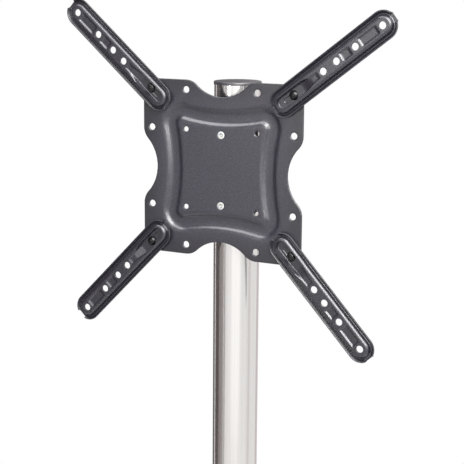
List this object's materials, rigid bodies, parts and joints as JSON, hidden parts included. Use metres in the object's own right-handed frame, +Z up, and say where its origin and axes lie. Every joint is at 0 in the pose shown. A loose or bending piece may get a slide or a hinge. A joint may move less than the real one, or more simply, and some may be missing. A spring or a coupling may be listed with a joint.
{
  "type": "tv stand with mount",
  "caption": "Floor stand for a flat screen: round base, steel pole, and a pressed mounting plate with swinging, sliding, perforated arms.",
  "frame": {"origin": "on the floor, on the pole's axis, at the middle of the round base", "axes": "+Z up along the pole; -Y to the front, out of the mounting plate's face; +X to the right as seen from the front"},
  "size_m": [0.4999, 0.5, 1.3008],
  "materials": {
    "base_plate": "satin black powder coat",
    "base_feet": "matt black rubber",
    "base_collar": "brushed around",
    "base_bolts": "zinc-plated",
    "pole_foot": "as cast, blackened",
    "pole_tube": "finely brushed along the tube",
    "pole_cap": "satin black moulding",
    "pole_saddle": "satin black powder coat",
    "nut_bar": "zinc-plated",
    "upper_plate_screw": "bright zinc-plated",
    "lower_plate_screw": "bright zinc-plated",
    "mount_plate": "fine-textured black powder coat",
    "upper_left_arm": "semi-gloss black powder coat",
    "upper_right_arm": "semi-gloss black powder coat",
    "lower_left_arm": "semi-gloss black powder coat",
    "lower_right_arm": "semi-gloss black powder coat",
    "upper_left_bolt": "gloss black",
    "upper_right_bolt": "gloss black",
    "lower_left_bolt": "gloss black",
    "lower_right_bolt": "gloss black",
    "upper_left_washer": "zinc-plated",
    "upper_right_washer": "zinc-plated",
    "lower_left_washer": "zinc-plated",
    "lower_right_washer": "zinc-plated",
    "upper_left_nut": "zinc-plated",
    "upper_right_nut": "zinc-plated",
    "lower_left_nut": "zinc-plated",
    "lower_right_nut": "zinc-plated"
  },
  "bodies": {
    "stand": {"base_plate": "base_plate", "base_feet": "base_feet", "base_collar": "base_collar", "base_bolts": "base_bolts", "pole_foot": "pole_foot", "pole_tube": "pole_tube", "pole_cap": "pole_cap", "pole_saddle": "pole_saddle", "nut_bar": "nut_bar", "upper_plate_screw": "upper_plate_screw", "lower_plate_screw": "lower_plate_screw", "mount_plate": "mount_plate"},
    "upper_left_bolt": {"upper_left_bolt": "upper_left_bolt", "upper_left_washer": "upper_left_washer", "upper_left_nut": "upper_left_nut"},
    "upper_left_arm": {"upper_left_arm": "upper_left_arm"},
    "upper_right_bolt": {"upper_right_bolt": "upper_right_bolt", "upper_right_washer": "upper_right_washer", "upper_right_nut": "upper_right_nut"},
    "upper_right_arm": {"upper_right_arm": "upper_right_arm"},
    "lower_left_bolt": {"lower_left_bolt": "lower_left_bolt", "lower_left_washer": "lower_left_washer", "lower_left_nut": "lower_left_nut"},
    "lower_left_arm": {"lower_left_arm": "lower_left_arm"},
    "lower_right_bolt": {"lower_right_bolt": "lower_right_bolt", "lower_right_washer": "lower_right_washer", "lower_right_nut": "lower_right_nut"},
    "lower_right_arm": {"lower_right_arm": "lower_right_arm"}
  },
  "joints": [
    {"name": "upper_left_swing", "type": "hinge", "parent": "stand", "child": "upper_left_bolt", "pos_m": [-0.1, -0.046, 1.19], "axis": [0, -1, 0], "range_deg": [-48.9, 41.1]},
    {"name": "upper_left_slide", "type": "slide", "parent": "upper_left_bolt", "child": "upper_left_arm", "axis": [-0.7536, 0, 0.6574], "range_m": [0, 0.012]},
    {"name": "upper_right_swing", "type": "hinge", "parent": "stand", "child": "upper_right_bolt", "pos_m": [0.1, -0.046, 1.19], "axis": [0, -1, 0], "range_deg": [-37.4, 52.6]},
    {"name": "upper_right_slide", "type": "slide", "parent": "upper_right_bolt", "child": "upper_right_arm", "axis": [0.7944, 0, 0.6074], "range_m": [0, 0.012]},
    {"name": "lower_left_swing", "type": "hinge", "parent": "stand", "child": "lower_left_bolt", "pos_m": [-0.1, -0.046, 0.99], "axis": [0, -1, 0], "range_deg": [-45.6, 44.4]},
    {"name": "lower_left_slide", "type": "slide", "parent": "lower_left_bolt", "child": "lower_left_arm", "axis": [-0.6997, 0, -0.7145], "range_m": [0, 0.012]},
    {"name": "lower_right_swing", "type": "hinge", "parent": "stand", "child": "lower_right_bolt", "pos_m": [0.1, -0.046, 0.99], "axis": [0, -1, 0], "range_deg": [-42.7, 47.3]},
    {"name": "lower_right_slide", "type": "slide", "parent": "lower_right_bolt", "child": "lower_right_arm", "axis": [0.6782, 0, -0.7349], "range_m": [0, 0.012]}
  ]
}
